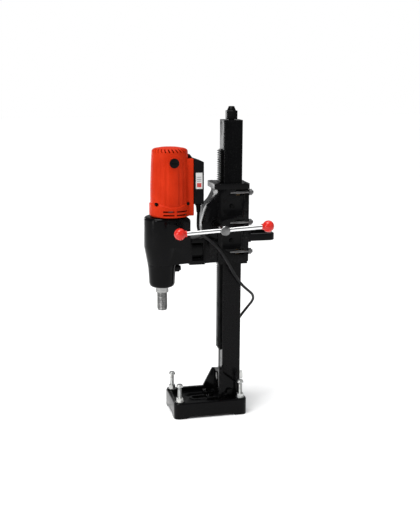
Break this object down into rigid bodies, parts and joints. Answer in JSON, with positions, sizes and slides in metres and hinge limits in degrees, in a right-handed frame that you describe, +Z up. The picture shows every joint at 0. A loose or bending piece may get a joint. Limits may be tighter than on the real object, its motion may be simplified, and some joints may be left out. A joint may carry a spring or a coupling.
{
  "type": "core drill rig",
  "caption": "Column-mounted core drill: cast base with levelling screws, square column with rack, geared carriage, crank handle, motor, gearbox and threaded spindle.",
  "frame": {"origin": "middle of the base's footprint, on the floor that it stands on", "axes": "+Z up along the column; -Y is the front, where the spindle hangs; +X is the side of the feed handle"},
  "size_m": [0.3515, 0.3825, 0.906],
  "materials": {
    "cast_black": "gloss black enamel over fine cast texture",
    "column_black": "gloss black enamel on drawn tube",
    "plate_black": "gloss black enamel on machined plate",
    "rack_dark": "black oxide on milled teeth, polished tips",
    "zinc": "bright zinc plate",
    "steel": "turned steel, fine rings",
    "chrome": "bright chrome plate",
    "motor_red": "moulded red plastic, fine spark texture",
    "knob_red": "polished phenolic ball",
    "black_plastic": "moulded glass-filled plastic",
    "label_white": null,
    "cord_black": "matt rubber sheath",
    "seal_rubber": "oil seal rubber",
    "bronze": "sintered bronze",
    "brass": "turned brass",
    "gear_steel": "hobbed steel",
    "copper_iron": "laminated iron with windings",
    "carbon": "carbon"
  },
  "bodies": {
    "stand": {"base": "cast_black", "lock_nuts": "zinc", "column": "column_black", "rack": "rack_dark", "rack_screws": "rack_dark", "column_bracket": "cast_black", "bracket_bolts": "rack_dark", "back_bolt": "zinc", "column_cap": "column_black", "cord": "cord_black", "cord_coil": "cord_black", "plug": "cord_black"},
    "carriage": {"carriage": "cast_black", "clamp_plate": "plate_black", "clamp_bolts": "zinc", "top_plate": "plate_black", "top_plate_screws": "rack_dark", "bottom_wiper": "plate_black", "guide_shoes": "bronze", "carriage_screws": "rack_dark", "carry_handle": "plate_black", "bushes": "rack_dark", "gearbox_housing": "cast_black", "neck": "cast_black", "neck_bolts": "rack_dark", "nose_housing": "cast_black", "nose_screws": "zinc", "screw_plugs": "rack_dark", "water_nipple": "brass", "oil_seal": "seal_rubber", "spindle_bearings": "gear_steel", "stator": "copper_iron", "motor_bearings": "gear_steel", "motor_housing": "motor_red", "motor_cap": "motor_red", "brush_caps": "black_plastic", "brushes": "carbon", "control_box": "black_plastic", "box_cover": "black_plastic", "box_label": "label_white", "box_bracket": "black_plastic", "rocker_bezel": "black_plastic", "cable_gland": "black_plastic"},
    "feed_handle": {"pinion_shaft": "rack_dark", "shaft_collars": "rack_dark", "handle_hub": "steel", "handle_bar": "chrome", "handle_knobs": "knob_red"},
    "armature": {"armature": "copper_iron", "fan": "black_plastic"},
    "layshaft": {"layshaft": "gear_steel", "layshaft_gear": "gear_steel"},
    "spindle": {"spindle": "steel", "spindle_gear": "gear_steel"},
    "rocker": {"rocker_switch": "black_plastic"},
    "jack_screw": {"jack_screw": "rack_dark"},
    "levelling_screw_1": {"levelling_screw_1": "zinc"},
    "levelling_screw_2": {"levelling_screw_2": "zinc"},
    "levelling_screw_3": {"levelling_screw_3": "zinc"},
    "levelling_screw_4": {"levelling_screw_4": "zinc"}
  },
  "joints": [
    {"name": "carriage_feed", "type": "slide", "parent": "stand", "child": "carriage", "axis": [0, 0, 1], "range_m": [-0.3, 0.16], "deforming": ["cord"]},
    {"name": "feed_handle_turn", "type": "hinge", "parent": "carriage", "child": "feed_handle", "pos_m": [0, 0.0175, 0.575], "axis": [1, 0, 0], "range_deg": [-515, 960]},
    {"name": "armature_spin", "type": "hinge", "parent": "carriage", "child": "armature", "pos_m": [0, -0.108, 0.68], "axis": [0, 0, 1], "continuous": true},
    {"name": "layshaft_spin", "type": "hinge", "parent": "carriage", "child": "layshaft", "pos_m": [0, -0.084, 0.55], "axis": [0, 0, 1], "continuous": true},
    {"name": "spindle_spin", "type": "hinge", "parent": "carriage", "child": "spindle", "pos_m": [0, -0.132, 0.45], "axis": [0, 0, 1], "continuous": true},
    {"name": "rocker_tilt", "type": "hinge", "parent": "carriage", "child": "rocker", "pos_m": [0, -0.015, 0.718], "axis": [1, 0, 0], "range_deg": [-8, 8]},
    {"name": "jack_screw_lift", "type": "slide", "parent": "stand", "child": "jack_screw", "axis": [0, 0, 1], "range_m": [0, 0.03]},
    {"name": "levelling_screw_1_travel", "type": "slide", "parent": "stand", "child": "levelling_screw_1", "axis": [0, 0, 1], "range_m": [-0.012, 0.02]},
    {"name": "levelling_screw_2_travel", "type": "slide", "parent": "stand", "child": "levelling_screw_2", "axis": [0, 0, 1], "range_m": [-0.012, 0.02]},
    {"name": "levelling_screw_3_travel", "type": "slide", "parent": "stand", "child": "levelling_screw_3", "axis": [0, 0, 1], "range_m": [-0.012, 0.02]},
    {"name": "levelling_screw_4_travel", "type": "slide", "parent": "stand", "child": "levelling_screw_4", "axis": [0, 0, 1], "range_m": [-0.012, 0.02]}
  ],
  "couplings": [
    {"joint": "feed_handle_turn", "follows": "carriage_feed", "rad_per_m": -55.556},
    {"joint": "layshaft_spin", "follows": "armature_spin", "ratio": -0.33333},
    {"joint": "spindle_spin", "follows": "armature_spin", "ratio": 0.11111}
  ]
}
